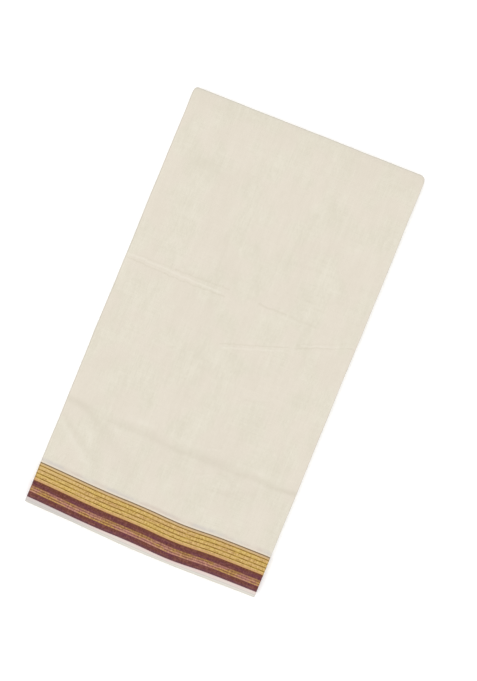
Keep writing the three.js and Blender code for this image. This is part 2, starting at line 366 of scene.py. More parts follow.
def turn_from_level(places):
    """How far each place on a sheet turns from lying level. 0 is level and 1 is upright."""
    sideways = np.stack([np.gradient(part, axis=1) for part in places], axis=-1)
    inward = np.stack([np.gradient(part, axis=0) for part in places], axis=-1)
    normal = np.cross(sideways, inward)
    return 1 - np.abs(normal[..., 2]) / np.linalg.norm(normal, axis=-1)


def as_floats(values):
    return values.astype(np.float32).ravel()


def keep_values(sheet, name, values):
    """Stores one number for each point of a sheet, for the finishes to read."""
    attribute = sheet.data.attributes.new(name, "FLOAT", "POINT")
    attribute.data.foreach_set("value", as_floats(values))


def write_map(sheet, name, across, up):
    """Records two numbers for each point of a sheet as a UV map."""
    layer = sheet.data.uv_layers.new(name=name)
    corners = np.zeros(len(sheet.data.loops), np.int32)
    sheet.data.loops.foreach_get("vertex_index", corners)
    place = np.stack([across.ravel(), up.ravel()], axis=-1)
    layer.uv.foreach_set("vector", as_floats(place[corners]))


def no_shift(*place):
    return 0.0


def weave_sheet(name, section, wefts, creep=no_shift, sway=no_shift, spread=1.0):
    """A folded sheet whose columns are the points of a section and whose rows are at the given wefts."""
    x, height, length = section
    columns, rows = len(x) - 1, len(wefts) - 1
    bpy.ops.mesh.primitive_grid_add(x_subdivisions=columns, y_subdivisions=rows, calc_uvs=False)
    sheet = bpy.context.object
    sheet.name = name
    sheet.data.name = name
    weft_grid, x_grid = np.meshgrid(wefts, x, indexing="ij")
    height_grid = np.broadcast_to(height, x_grid.shape)
    crept = creep(x_grid, height_grid, weft_grid)
    x_grid = x_grid + sway(x_grid, height_grid, weft_grid)
    folded, crease_depth = press(*fold(x_grid, height_grid, weft_grid, crept), spread)
    sheet.data.vertices.foreach_set("co", as_floats(np.stack(folded, axis=-1)))
    keep_values(sheet, CREASE_DEPTH, crease_depth)
    # Painted shade at the folds follows how far the cloth turns, made stronger near the left fold.
    beside_left = np.clip(1 - (x_grid - LEFT) / LEFT_FOLD_REACH, 0, 1)
    keep_values(sheet, FOLD_TURN, turn_from_level(folded) * (1 + LEFT_FOLD_EXTRA_SHADE * beside_left))
    write_map(sheet, CLOTH_MAP, np.broadcast_to(length, x_grid.shape), weft_grid)
    write_map(sheet, BAKE_MAP, *np.meshgrid(np.linspace(0, 1, len(x)), np.linspace(0, 1, len(wefts))))
    sheet.data.update()
    return sheet


print("maps on each sheet:", CLOTH_MAP, BAKE_MAP)

# %% [markdown]
# A grid has no thickness, and cloth does, if only about a third of a millimetre. A Solidify modifier
# gives it a wall, and applying it makes the wall real. Shading is smooth, but cut edges stay crisp.

# %% Thickness
def read_map(sheet, name):
    """The two numbers that a UV map holds, for the four corners of each face."""
    uv = sheet.data.uv_layers[name].uv
    places = np.zeros(2 * len(uv), np.float32)
    uv.foreach_get("vector", places)
    return places.reshape(-1, 4, 2)


def fit_bake_map(sheet, faces, axis, low, high):
    """Squeezes some faces' part of the bake map between two limits along one axis."""
    places = read_map(sheet, BAKE_MAP)
    places[faces, :, axis] = low + (high - low) * places[faces, :, axis]
    sheet.data.uv_layers[BAKE_MAP].uv.foreach_set("vector", places.ravel())


def thicken(sheet, outer_share=0.92):
    """Gives the cloth its thickness, half to each side, and smooth shading but for its cut edges. The
    outer faces get most of the bake map, because the inner ones aren't seen."""
    faces = len(sheet.data.polygons)
    select_only(sheet)
    wall = sheet.modifiers.new("thickness", "SOLIDIFY")
    wall.thickness = THICKNESS
    wall.offset = 0
    bpy.ops.object.modifier_apply(modifier=wall.name)
    bpy.ops.object.shade_smooth_by_angle(angle=math.radians(50))
    fit_bake_map(sheet, slice(0, faces), 0, 0, outer_share)
    fit_bake_map(sheet, slice(faces, 2 * faces), 0, outer_share + 0.01, 1)
    fit_bake_map(sheet, slice(2 * faces, None), 0, 0, outer_share)
    sheet.data.calc_loop_triangles()
    print(sheet.name, "has", len(sheet.data.loop_triangles), "triangles")


print("cloth, mm thick:", round(THICKNESS / MM, 2))

# %% [markdown]
# The cream ground is the plain stretch between the two borders. It goes over the top, round the far
# fold and back underneath, as one piece, because the real cloth has no seam there. Rows lie closer
# together where the main crease runs, and further apart underneath, where little is seen.

# %% The cream ground
BORDER = [
    ("selvedge", 7.1 * MM),
    ("outer_maroon", 8.0 * MM),
    ("kasavu_stripe", 8.6 * MM),
    ("inner_maroon", 8.3 * MM),
    ("kasavu_band", 26.5 * MM),
]
BAND_EDGES = np.cumsum([0.0] + [width for _, width in BORDER])
BORDER_WIDTH = BAND_EDGES[-1]
OTHER_BORDER = CLOTH_WIDTH - BORDER_WIDTH
CREASED_FROM = 128 * MM
CREASED_TO = 172 * MM
TURN_GAP = TURN / 16


def rows_through(stops, gaps):
    """Rows from the first stop to the last. Between two stops they are about one gap apart."""
    rows = []
    for start, end, gap in zip(stops, stops[1:], gaps):
        count = max(1, round((end - start) / gap))
        rows.extend(np.linspace(start, end, count + 1)[:-1])
    return np.array([*rows, stops[-1]])


ground_stops = [BORDER_WIDTH, CREASED_FROM, CREASED_TO, FLAT, FLAT + TURN, OTHER_BORDER]
ground_wefts = rows_through(ground_stops, [2.4 * MM, 1.6 * MM, 2.8 * MM, TURN_GAP, 8 * MM])
ground = weave_sheet("cream_ground", leaf, ground_wefts)
thicken(ground)

# %% [markdown]
# The border is woven in one with the ground, in five stretches: a pale selvedge, a maroon band, a
# narrow kasavu stripe, a second maroon band, and the broad gold kasavu band. Each is its own piece, cut
# on the same columns as the ground, so that the edges meet exactly and each yarn can have its own
# finish. The second border lies underneath, mirrored.

# %% The border, on top and underneath
bands = {}


def cut_band(node_name, start, end):
    wefts = rows_through([start, end], [1.9 * MM])
    bands[node_name] = weave_sheet(node_name + "_cloth", leaf, wefts)
    thicken(bands[node_name])


for (yarn, _), start, end in zip(BORDER, BAND_EDGES, BAND_EDGES[1:]):
    cut_band("top_" + yarn, start, end)
    cut_band("under_" + yarn, CLOTH_WIDTH - end, CLOTH_WIDTH - start)

# %% [markdown]
# Everything inside the outer leaf is the rest of the same cloth, and it shows along the sides as a
# stack of folded edges. Lines on a block could stand for them, but would look drawn. So the whole strip
# is followed, panel by panel and fold by fold, as it lies after four halvings. The order of the layers
# comes from folding a paper strip and reading the stack.

# %% The order of the hidden layers
LAYER_OF_PANEL = [0, 15, 8, 7, 4, 11, 12, 3, 2, 13, 10, 5, 6, 9, 14, 1]
# By a fold's upper layer: how far in from the leaf's own fold, or from the right edge, its centre is.
LEFT_SLACK = {14: 0.1, 13: 0.25, 12: 0.35, 11: 0.6, 10: 0.7, 9: 0.9, 8: 1.1}
RIGHT_CENTRES = {14: 1.92, 13: 2.07, 12: 2.27, 7: 1.71, 6: 1.81, 3: 1.87}
FREE_ENDS = (2.7 * MM, 3.3 * MM)
SMALL_FOLD = 0.6 * MM
PANEL_STEPS = 12


def fold_at(side, layer_a, layer_b):
    """The fold that joins two layers at one edge, with as many points as its size needs."""
    upper = max(layer_a, layer_b)
    low, high = LAYER_HEIGHTS[layer_a], LAYER_HEIGHTS[layer_b]
    steps = 4 if abs(high - low) < SMALL_FOLD else 6
    if side < 0:
        return half_round(LEFT_CENTRE + LEFT_SLACK[upper] * MM, low, high, side, steps)
    return half_round(RIGHT - RIGHT_CENTRES[upper] * MM, low, high, side, steps)


# The other panels, from where the outer leaf's right-hand fold ends.
runs = []
start = RIGHT_CENTRE
for panel in range(2, PANELS - 1):
    layer = LAYER_OF_PANEL[panel]
    turn = fold_at(-1 if panel % 2 == 0 else 1, layer, LAYER_OF_PANEL[panel + 1])
    runs += [flat_run(start, turn[0][0], LAYER_HEIGHTS[layer], PANEL_STEPS), turn]
    start = turn[0][-1]
runs.append(flat_run(start, RIGHT - FREE_ENDS[1], LAYER_HEIGHTS[1], PANEL_STEPS))
strip = join_runs(runs)
first_run = join_runs([flat_run(LEFT_CENTRE, RIGHT - FREE_ENDS[0], LOWEST, PANEL_STEPS)])

# %% [markdown]
# No hand lines up thirty-two edges exactly. At the near end each layer stops a little short of the
# leaf or creeps out past it, and on the right the inner folds wander in and out. These offsets are set
# layer by layer and packet by packet, and they change slowly along the edge, as in a real pile.

# %% Uneven edges of the hidden layers
TOP_CREEP = np.array([1.5, 1.1, 0.7, 1.3, 0.4, 0.9, 1.4, 0.8, 0.3, 1.0, 0.6, 1.2, 0.5, 0.9, -0.2, 0]) * MM
UNDER_CREEP = np.array([1.2, 0.6, 1.4, 0.9, 1.1, 0.3, 0.8, 1.5, 0.9, 0.5, 1.2, 0.7, 1.0, 0.4, 0.6, 0]) * MM

CREEP_WAVE = 0.3 * MM
SWAY_REACH = 25 * MM
PACKET_TOPS = [0.5, 1.0, 2.0, 4.0]
PACKET_SWAY = np.array([0.8, 0.7, 0.5, 0.45, 0.0]) * MM


def near_creep(x, height, weft):
    on_top = np.interp(height, LAYER_HEIGHTS, TOP_CREEP)
    underneath = np.interp(height, LAYER_HEIGHTS, UNDER_CREEP)
    layer = height / LAYER_PITCH
    wave = CREEP_WAVE * ripple(x, 0.15, 1.3 * np.round(layer * 2) / 2)
    return np.where(weft < CLOTH_WIDTH / 2, on_top, underneath) + wave


def side_sway(x, height, weft):
    """Moves the inner folds on the right in and out. The eight layers in the leaf's fold stay with it."""
    beside = np.clip(1 - (RIGHT - x) / SWAY_REACH, 0, 1) ** 2
    packet = np.searchsorted(PACKET_TOPS, height / MM)
    return -beside * PACKET_SWAY[packet] * (0.5 + 0.5 * ripple(weft, 0.24, 2.0 * packet))


hidden_stops = [BORDER_WIDTH, 0.2, FLAT, FLAT + TURN, OTHER_BORDER]
plain_rows = rows_through(hidden_stops, [12 * MM, 60 * MM, TURN_GAP, 60 * MM])
hidden_wefts = np.concatenate([BAND_EDGES[:-1], plain_rows, CLOTH_WIDTH - BAND_EDGES[-2::-1]])
print("rows in the hidden layers:", len(hidden_wefts))

# %% [markdown]
# The two strips of hidden cloth are made as the outer leaf was, and joined. The border runs through
# them as well, so each face is numbered for its yarn, by how far in from the nearer selvedge its middle
# lies, before the cloth gets its thickness. The finishes then land on the right rows.

# %% The hidden layers
HIDDEN_SPREAD = 3.5
hidden = weave_sheet("inner_layers", strip, hidden_wefts, near_creep, side_sway, HIDDEN_SPREAD)
first_panel = weave_sheet("first_panel", first_run, hidden_wefts, near_creep, side_sway, HIDDEN_SPREAD)
fit_bake_map(hidden, slice(None), 1, 0, 0.93)
fit_bake_map(first_panel, slice(None), 1, 0.94, 1)
select_only(hidden, first_panel)
bpy.ops.object.join()
for _ in range(len(BORDER) + 1):
    hidden.data.materials.append(None)
middles = read_map(hidden, CLOTH_MAP)[..., 1].mean(axis=1)
numbers = np.searchsorted(BAND_EDGES, np.minimum(middles, CLOTH_WIDTH - middles))
numbers[numbers > len(BORDER)] = 0
hidden.data.polygons.foreach_set("material_index", numbers.astype(np.int32))
print("faces of each yarn:", np.bincount(numbers).tolist())
thicken(hidden, outer_share=0.5)

# %% [markdown]
# ## Finishes
# Cloth has no single colour. Yarns differ in thickness and shade, the weave catches light, and pressing
# leaves marks. Every finish is a tree of nodes that works all this out at each spot. Such a tree can be
# linked by hand. Here a small class does it: a sum written with a Value adds a Math node to the tree
# that the Value comes from, so that each finish reads like a recipe.

# %% Sums that become nodes
class Value:
    """A number or a colour that a node gives out. A sum written with it adds a Math node."""

    def __init__(self, socket):
        self.socket = socket

    def __add__(self, other):
        return maths("ADD", self, other)

    def __sub__(self, other):
        return maths("SUBTRACT", self, other)

    def __mul__(self, other):
        return maths("MULTIPLY", self, other)

    def __abs__(self):
        return maths("ABSOLUTE", self)

    __radd__ = __add__
    __rmul__ = __mul__


def set_inputs(node, inputs):
    """Gives a node its inputs. Each is a plain value, or a Value to link from."""
    for key, given in inputs.items():
        if isinstance(given, Value):
            node.id_data.links.new(given.socket, node.inputs[key])
        else:
            node.inputs[key].default_value = given


def add_node(tree, kind, inputs=None, **settings):
    node = tree.nodes.new(kind)
    for key, setting in settings.items():
        setattr(node, key, setting)
    set_inputs(node, inputs or {})
    return node


def result(kind, inputs, output=0, **settings):
    """What a new node gives out. It goes in the tree that its inputs come from."""
    tree = next(given.socket.id_data for given in inputs.values() if isinstance(given, Value))
    return Value(add_node(tree, kind, inputs, **settings).outputs[output])


def maths(operation, *values):
    return result("ShaderNodeMath", dict(enumerate(values)), operation=operation)


print("sums that add a node: plus, minus, times and abs")

# %% [markdown]
# A few more helpers serve every finish: a dye as it looks in the studio light, dyes laid one over
# another, a smooth step between two limits, and the spot's place in the flat cloth, so that the yarns
# run with the cloth. Patches of noise stand for all that is uneven in handwork.

# %% Dyes, places and patches
STUDIO_LIGHT = 1.2


def dye(red, green, blue):
    """The yarn's own colour, from how it should look in the studio light, as 0-255 values."""
    shares = [part / 255 for part in (red, green, blue)]
    linear = [s / 12.92 if s <= 0.04045 else ((s + 0.055) / 1.055) ** 2.4 for s in shares]
    return (*[part / STUDIO_LIGHT for part in linear], 1.0)


def blend(factor, first, second, way="MIX"):
    """A colour between two, by a factor."""
    inputs = {"Factor": factor, 6: first, 7: second}
    return result("ShaderNodeMix", inputs, output=2, data_type="RGBA", blend_type=way)


def fade(value, from_low, from_high, to_low=0.0, to_high=1.0):
    """A value's place between two limits, smoothed."""
    inputs = {0: value, 1: from_low, 2: from_high, 3: to_low, 4: to_high}
    return result("ShaderNodeMapRange", inputs, interpolation_type="SMOOTHSTEP")


def lay_dyes(colour, layers):
    """Lays dyes over a colour, one after another. Each layer is a value, where on it the dye starts and
    where it is full, how strong it is there, and the dye."""
    for value, starts, full, strength, over in layers:
        colour = blend(fade(value, starts, full, 0.0, strength), colour, dye(*over))
    return colour


def cloth_place(tree):
    """How far along the cloth and in from the selvedge a spot is, in metres."""
    flat = Value(add_node(tree, "ShaderNodeUVMap", uv_map=CLOTH_MAP).outputs["UV"])
    parts = add_node(tree, "ShaderNodeSeparateXYZ", {0: flat}).outputs
    return Value(parts[0]), Value(parts[1])


def in_from_edge(inward):
    """Millimetres in from the nearer selvedge, so that one finish serves both borders."""
    return maths("MINIMUM", inward, -1 * inward + CLOTH_WIDTH) * (1 / MM)


def patches(place, often_along, often_in, detail, shift):
    """Uneven patches, by how often they come each way. About 0.5 on average."""
    along, inward = place
    at = result("ShaderNodeCombineXYZ", {0: along * often_along, 1: inward * often_in, 2: shift})
    return result("ShaderNodeTexNoise", {"Vector": at, "Scale": 1.0, "Detail": detail, "Roughness": 0.55})


print("a white yarn's own colour:", [round(part, 3) for part in dye(255, 255, 255)])

# %% [markdown]
# The weave is the same everywhere: warp and weft yarns over and under each other, about twenty to the
# centimetre. Its height comes from sine waves, with a slower unevenness along each yarn where the
# hand-spun thickness changes. It also says which crossing of yarns a spot belongs to, so that colours
# change from yarn to yarn and don't blur. It is a node group, because every finish uses it.

# %% The weave
YARNS_PER_METRE = 2100.0


def one_by_one(number):
    """A number between 0 and 1 for each yarn, the same all along it."""
    return result("ShaderNodeTexWhiteNoise", {"W": number}, output="Value", noise_dimensions="1D")


def make_group(name, inputs):
    """A node group, and what it is given."""
    group = bpy.data.node_groups.new(name, "ShaderNodeTree")
    for key in inputs:
        group.interface.new_socket(key, in_out="INPUT", socket_type="NodeSocketFloat")
    given = group.nodes.new("NodeGroupInput").outputs
    return group, [Value(given[key]) for key in inputs]


def end_group(group, results):
    """Gives a node group its results, by name."""
    for key in results:
        group.interface.new_socket(key, in_out="OUTPUT", socket_type="NodeSocketFloat")
    add_node(group, "NodeGroupOutput", results)
    print("nodes in", group.name, "-", len(group.nodes))
    return group


group, _ = make_group("handloom_weave", [])
place = cloth_place(group)
drift = patches(place, 70, 70, 1, 3)
weft_and_warp = [part * YARNS_PER_METRE + drift for part in place]
weft_round, warp_round = [abs(maths("SINE", count * math.pi)) for count in weft_and_warp]
weft_number, warp_number = [maths("FLOOR", count) for count in weft_and_warp]
over = maths("PINGPONG", warp_number + weft_number, 1.0)
yarns = maths("MAXIMUM", warp_round * (0.5 * over + 0.5), weft_round * (-0.5 * over + 1))
warp_slubs = patches(place, 28, 900, 1, 0)
weft_slubs = patches(place, 900, 28, 1, 7)
slubs = 0.5 * (warp_slubs + weft_slubs)
weave = end_group(group, {
    "height": 1.6 * slubs + yarns,
    "slubs": slubs,
    "yarns": yarns,
    "warp_shade": one_by_one(warp_number),
    "weft_shade": one_by_one(weft_number),
    "cross_along": maths("DIVIDE", weft_number, YARNS_PER_METRE),
    "cross_in": maths("DIVIDE", warp_number, YARNS_PER_METRE),
})

# %% [markdown]
# A finish is a Principled shader with the weave as its bump. What differs is the colour, how it shines,
# and how strongly its threads stand out. Its colour always has painted shade between the yarns, and
# painted shade at the folds, where the cloth turns away from level.

# %% What all finishes share
# The painted shade at the folds, a colour that the finish is multiplied by.
FOLD_SHADE = (0.82, 0.82, 0.83, 1)


def kept_value(tree, name):
    """A number that was kept for each point of a sheet."""
    return Value(add_node(tree, "ShaderNodeAttribute", attribute_name=name).outputs["Fac"])


def start_finish(name, roughness, sheen=0.0, metallic=0.0):
    """A material with its even values set, and all that its nodes can know about a spot: its place in
    the cloth, its yarns and their crossing, and its depth in from the nearer selvedge."""
    material = bpy.data.materials.new(name)
    material.use_nodes = True
    spot = SimpleNamespace(material=material, tree=material.node_tree)
    set_inputs(spot.tree.nodes["Principled BSDF"], {
        "Roughness": roughness,
        "Metallic": metallic,
        "Sheen Weight": sheen,
        "Sheen Roughness": 0.45,
        "Specular IOR Level": 0.25,
    })
    spot.place = cloth_place(spot.tree)
    spot.along = spot.place[0]
    spot.depth = in_from_edge(spot.place[1])
    for socket in add_node(spot.tree, "ShaderNodeGroup", node_tree=weave).outputs:
        setattr(spot, socket.name, Value(socket))
    spot.crossing = (spot.cross_along, spot.cross_in)
    spot.thread = (spot.along, spot.cross_in)
    return spot


def end_finish(spot, colour, height, bump_mm, in_gaps, on_yarns):
    """Paints shade into the gaps between yarns and onto the folds, and gives the shader its colour and
    bump.
    """
    # Painted shade between the yarns, and their tops a little lighter.
    light = fade(spot.yarns, 0.2, 0.8, in_gaps, on_yarns)
    woven = result("ShaderNodeVectorMath", {0: colour, "Scale": light}, operation="SCALE")
    # Painted shade at the folds, where the cloth turns away from level.
    fold_shaded = blend(fade(kept_value(spot.tree, FOLD_TURN), 0.15, 0.7), woven, FOLD_SHADE, "MULTIPLY")
    bump = result("ShaderNodeBump", {"Height": height, "Strength": 1.0, "Distance": bump_mm * MM})
    set_inputs(spot.tree.nodes["Principled BSDF"], {"Base Color": fold_shaded, "Normal": bump})
    print("nodes in", spot.material.name, "-", len(spot.tree.nodes))
    return spot.material


print("yarns to the centimetre:", YARNS_PER_METRE / 100)

# %% [markdown]
# Finer creases than the mesh can hold go in the cream's bump and shade: pairs of lines where an earlier
# fold lay, a few long thin diagonals, short ticks where the cloth puckered, and small ripples near the
# border. They are listed one by one, as the creases were.

# %% Fine pressed lines
# Each is (from the left edge, from the far end) twice, then half its width and its strength. A line
# that the cloth rises along has a strength below zero.
FINE_LINES = [
    # A pair with the cloth raised between them.
    (-4, 261.8, 60, 260.8, 2.2, 0.64),
    (60, 260.8, 148, 258.4, 2.1, 0.68),
    (-4, 256.4, 140, 255.2, 2.7, -0.9),
    (4, 250.6, 72, 249.8, 2.4, 0.4),
    (72, 249.6, 150, 246.5, 2.8, 0.6),
    # Its fainter continuation.
    (196, 250.4, 236, 249.6, 3.2, 0.72),
    (242, 250.8, 280, 250.8, 3.6, 0.55),
    # Long thin diagonals.
    (168, 320.0, 256, 290.2, 1.9, 0.7),
    (172, 324.6, 252, 297.0, 2.2, -0.75),
    (186, 303.5, 236, 286.5, 2.2, 0.25),
    (267, 287.4, 346, 262.4, 2.2, 0.65),
    (273, 281.0, 330, 261.8, 2.0, -0.8),
    (267, 281.9, 324, 258.4, 1.8, 0.35),
    (224, 382.2, 264, 369.0, 2.8, 0.36),
    (226, 389.0, 262, 377.0, 3.0, -0.4),
    # Short ticks where the cloth puckered.
    (102, 352.0, 113, 347.5, 1.8, 0.5),
    (104, 355.6, 115, 351.4, 1.8, -0.45),
    (196, 351.5, 208, 347.0, 1.8, 0.4),
    (206, 463.0, 226, 456.0, 1.8, -0.5),
    (206, 459.4, 224, 452.6, 1.8, 0.4),
    (102, 500.0, 114, 495.5, 1.8, -0.5),
    (206, 503.0, 222, 495.0, 1.8, -0.5),
    (205, 499.0, 221, 491.6, 1.8, 0.4),
    # Small ripples near the border.
    (20, 556, 24, 544, 1.9, 0.45),
    (24, 556, 28, 544, 1.8, -0.4),
    (28, 554, 32, 542, 1.8, 0.4),
    (37, 552, 41, 541, 1.8, 0.35),
    (68, 541, 74, 556, 2.2, 0.4),
    (100, 524, 103, 546, 2.6, 0.35),
    (174, 533, 185, 556, 1.8, 0.4),
    (177.6, 533, 188.6, 556, 1.8, -0.4),
    (191, 512, 194, 534, 2.4, 0.35),
    (217, 538, 225, 553, 2.0, 0.4),
    (262, 503, 264, 525, 2.2, 0.3),
    # A faint fold mark along the weft.
    (124, 178, 126, 236, 2.6, 0.35),
]
print("fine lines:", len(FINE_LINES))

# %% [markdown]
# A line's mask is the distance to a straight line in the cloth map, with a slight wobble. One node
# group works it out for any line, and the masks are added up, each at its own strength.

# %% How a line marks the cloth
WOBBLE = 5 * MM


def cloth_spot(from_left, from_far):
    """Where a spot on top of the bundle lies in the flat cloth."""
    x = np.array(LEFT + from_left * MM)
    y = frame_high.y - from_far * MM
    near = near_edge(x, np.array(FLAT / 2))
    weft = FLAT * (y - near) / (fold_line(np.clip(x, LEFT, RIGHT)) - near)
    on_top = slice(LEFT_STEPS, -RIGHT_STEPS)
    return float(np.interp(x, leaf_x[on_top], leaf_length[on_top])), float(weft)


names = ["from_u", "from_v", "step_u", "step_v", "length", "half_width"]
group, (from_u, from_v, step_u, step_v, length, half_width) = make_group("pressed_line", names)
along, inward = cloth_place(group)
wobble = patches((along, inward), 95, 20, 1, 5)
u = along - from_u
v = WOBBLE * wobble + inward - WOBBLE / 2 - from_v
within = maths("MINIMUM", maths("MAXIMUM", u * step_u + v * step_v, 0.0), length)
off_u = u - within * step_u
off_v = v - within * step_v
away = maths("SQRT", off_u * off_u + off_v * off_v)
pressed_line = end_group(group, {"mask": fade(away, 0.0, half_width, 1.0, 0.0)})


def all_pressed_lines(tree):
    """All the lines' masks together, each at its own strength."""
    total = 0.0
    for left1, far1, left2, far2, half_width, strength in FINE_LINES:
        u1, v1 = cloth_spot(left1, far1)
        u2, v2 = cloth_spot(left2, far2)
        length = math.hypot(u2 - u1, v2 - v1)
        given = (u1, v1, (u2 - u1) / length, (v2 - v1) / length, length, half_width * MM)
        line = add_node(tree, "ShaderNodeGroup", dict(enumerate(given)), node_tree=pressed_line)
        total = total + strength * Value(line.outputs[0])
    return total


# %% [markdown]
# The cream is unbleached cotton. Up close it is a fine weave. From further off it is faint streaks where
# one yarn was a little darker than the next, and soft blotches from washing and starch. A crease gets
# painted shade, and a ridge a painted highlight. Beside the border a strip of the ground gets painted
# shade, behind one bright line. All of it stays close to one warm cream.

# %% Cream cotton
CREASE_SHADE = (212, 204, 187)
RIDGE_HIGHLIGHT = (239, 233, 219)
PRESSED_LINE_SHADE = (214, 206, 188)


def strip_mask(depth, starts, full_from, full_to, ends):
    """1 along a strip of the border and 0 beside it, with soft sides. All in millimetres."""
    return fade(depth, starts, full_from) * fade(depth, ends, full_to)


def beside_border(spot, colour, warmth):
    """The cream where it meets the border: a bright line, and then a strip of painted shade on the ground.
    """
    uneven = patches(spot.place, 64, 150, 2, 43)
    # Painted shade along a strip of ground beside the border, uneven along it.
    border_shade = strip_mask(spot.depth, 59.8, 61.4, 61.8, 68) * fade(uneven, 0.3, 0.7, 0.35, 1.35)
    tint = lay_dyes(dye(215, 208, 199), [(warmth, 0.44, 0.56, 1, (219, 207, 194))])
    colour = blend(border_shade, colour, tint)
    return blend(0.6 * strip_mask(spot.depth, 58.5, 59.6, 60.2, 61.4), colour, dye(232, 216, 199))


def make_cream(name, lines):
    spot = start_finish(name, roughness=0.88, sheen=0.12)
    streaks = patches(spot.place, 120, 24, 3, 1)
    blotches = patches(spot.place, 34, 26, 3, 2)
    warmth = patches(spot.place, 24, 20, 1, 41)
    fine = patches(spot.crossing, 420, 160, 2, 4)
    colour = lay_dyes(dye(223.5, 217, 200), [
        (0.9 * (streaks + blotches + fine) + 0.7 * spot.slubs, 1.2, 2.2, 1, (233.5, 227.5, 212)),
        (spot.warp_shade + spot.weft_shade, 1.2, 2.0, 0.5, (216, 208, 190)),
        (warmth, 0.4, 0.6, 0.5, (231, 220.5, 207)),
    ])
    crease = kept_value(spot.tree, CREASE_DEPTH)
    # Painted shade in the creases and a painted highlight on the ridges, by how deep each point lies.
    colour = blend(0.58 * crease, colour, dye(*CREASE_SHADE))
    colour = blend(-1.2 * crease, colour, dye(*RIDGE_HIGHLIGHT))
    colour = beside_border(spot, colour, warmth)
    height = 0.3 * spot.height
    if lines:
        pressed = all_pressed_lines(spot.tree)
        # Painted shade along the pressed lines, and a painted highlight along the lines that rise.
        colour = lay_dyes(colour, [
            (pressed, 0.0, 1.2, 0.62, PRESSED_LINE_SHADE),
            (pressed, 0.0, -1.2, 0.5, RIDGE_HIGHLIGHT),
        ])
        height = height - 2.2 * pressed
    return end_finish(spot, colour, height, 0.045, in_gaps=0.93, on_yarns=1.035)


cream = make_cream("cream cotton with pressed lines", lines=True)
plain_cream = make_cream("cream cotton", lines=False)

# %% [markdown]
# The selvedge is the cloth's own woven edge. Its warp is doubled, so it is denser and whiter than the
# ground, with ribs along the edge and a thicker cord among them. It yellows at the very edge, picks up
# some pink from the maroon beside it, and has gone grey at the left, where hands take it.

# %% Selvedge
CORD_AT = 3.1


def ribs(along, depth, per_millimetre):
    """Rounded warp threads side by side, a little uneven."""
    uneven = patches((along, depth), 45, 0.5, 1, 9)
    return abs(maths("SINE", (depth * per_millimetre + 0.6 * uneven) * math.pi))


spot = start_finish("selvedge cotton", roughness=0.88, sheen=0.12)
tint = patches(spot.place, 40, 260, 2, 6)
colour = lay_dyes(dye(225.5, 223.5, 214), [
    (spot.depth, 2.0, 5.2, 1, (231, 211, 205)),
    (tint, 0.4, 0.65, 0.5, (232, 226, 214)),
    (spot.along, 130 * MM, 60 * MM, 0.6, (202, 198, 196)),
    (abs(spot.depth - CORD_AT), 0.7, 0.2, 0.3, (186, 176, 174)),
    (spot.depth, 5.8, 7.4, 0.5, (206, 172, 166)),
    (spot.warp_shade, 0.4, 1.0, 0.4, (196, 184, 176)),
    (spot.depth, 1.1, 0.3, 0.6, (226, 219, 203)),
])
height = spot.height + 0.8 * ribs(spot.along, spot.depth, 1.5)
selvedge = end_finish(spot, colour, height, 0.03, in_gaps=0.93, on_yarns=1.085)

# %% [markdown]
# The maroon is dyed cotton, and no two dips of the dye are alike: some stretches lean to purple, others
# to brown. The warp threads that make the band catch the light as fine lines along it.

# %% Maroon cotton
spot = start_finish("maroon cotton", roughness=0.78, sheen=0.15)
dips = patches(spot.thread, 40, 130, 2, 11) - 0.08 + 0.16 * spot.warp_shade
worn = patches(spot.crossing, 110, 330, 2, 12)
threads = patches(spot.thread, 80, 1300, 1, 13)
grain = patches(spot.crossing, 420, 360, 2, 14)
colour = lay_dyes(dye(118, 60, 38), [
    (dips, 0.38, 0.62, 1, (112, 50, 72)),
    (spot.depth, 27.2, 30.6, 0.85, (121, 64, 22)),
    (spot.depth, 12.0, 8.6, 0.7, (110, 70, 92)),
    (worn, 0.46, 0.7, 0.7, (148, 94, 82)),
    (threads, 0.3, 0.7, 0.4, (84, 42, 44)),
    (grain, 0.5, 0.7, 0.5, (158, 98, 86)),
    (grain, 0.5, 0.3, 0.5, (70, 28, 36)),
    (spot.weft_shade, 0.3, 1.0, 0.3, (144, 90, 78)),
    (spot.warp_shade, 0.3, 1.0, 0.5, (84, 42, 44)),
])
height = spot.height + 0.8 * ribs(spot.along, spot.depth, 1.3)
maroon = end_finish(spot, colour, height, 0.035, in_gaps=0.7, on_yarns=1.02)

# %% [markdown]
# Kasavu is fine gilded thread laid in beside the cotton. In the broad band thin dark lines divide the
# gold into even strips, with a peach-coloured one at each side and a brown line to close it. Metal shows
# as sparkle in the threads more than as one mirror, so the shader is only partly metallic, and the
# lighter threads and grain are partly painted sparkle, partly uneven gilding. The colour drifts between
# yellow gold and peach, and is rubbed paler at the left.

# %% Kasavu gold
LINE_FROM = 36.9
LINE_PITCH = 5.53
spot = start_finish("kasavu gold", roughness=0.42, metallic=0.35)
depth = in_from_edge(spot.cross_in)
drift = patches(spot.thread, 30, 130, 3, 21)
threads = patches(spot.thread, 160, 1700, 1, 22)
grain = patches(spot.crossing, 420, 300, 2, 24)
